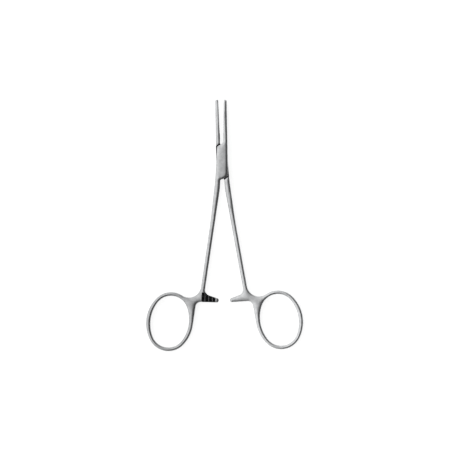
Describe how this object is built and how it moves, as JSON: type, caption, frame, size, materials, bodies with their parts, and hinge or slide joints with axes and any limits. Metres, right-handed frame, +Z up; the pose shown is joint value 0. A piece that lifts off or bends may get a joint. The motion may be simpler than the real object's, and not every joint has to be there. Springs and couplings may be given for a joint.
{
  "type": "hemostat forceps",
  "caption": "Straight hemostat forceps with serrated jaws, a box lock on a flush pin, finger rings and a ratchet, lying slightly open.",
  "frame": {"origin": "axis of the lock pin, on the plane that the rear face of the lock rests on", "axes": "+Y towards the jaw tips, +X to the right seen from the front, +Z up out of the front face, along the pin"},
  "size_m": [0.0778, 0.1242, 0.004],
  "materials": {
    "steel": "satin"
  },
  "bodies": {
    "box_member": {"box_arm": "steel", "lock_pin": "steel"},
    "tongue_member": {"tongue_arm": "steel"}
  },
  "joints": [
    {"name": "lock_hinge", "type": "hinge", "parent": "box_member", "child": "tongue_member", "pos_m": [0, 0, 0.002], "axis": [0, 0, 1], "range_deg": [-5.2, 54.8]}
  ]
}
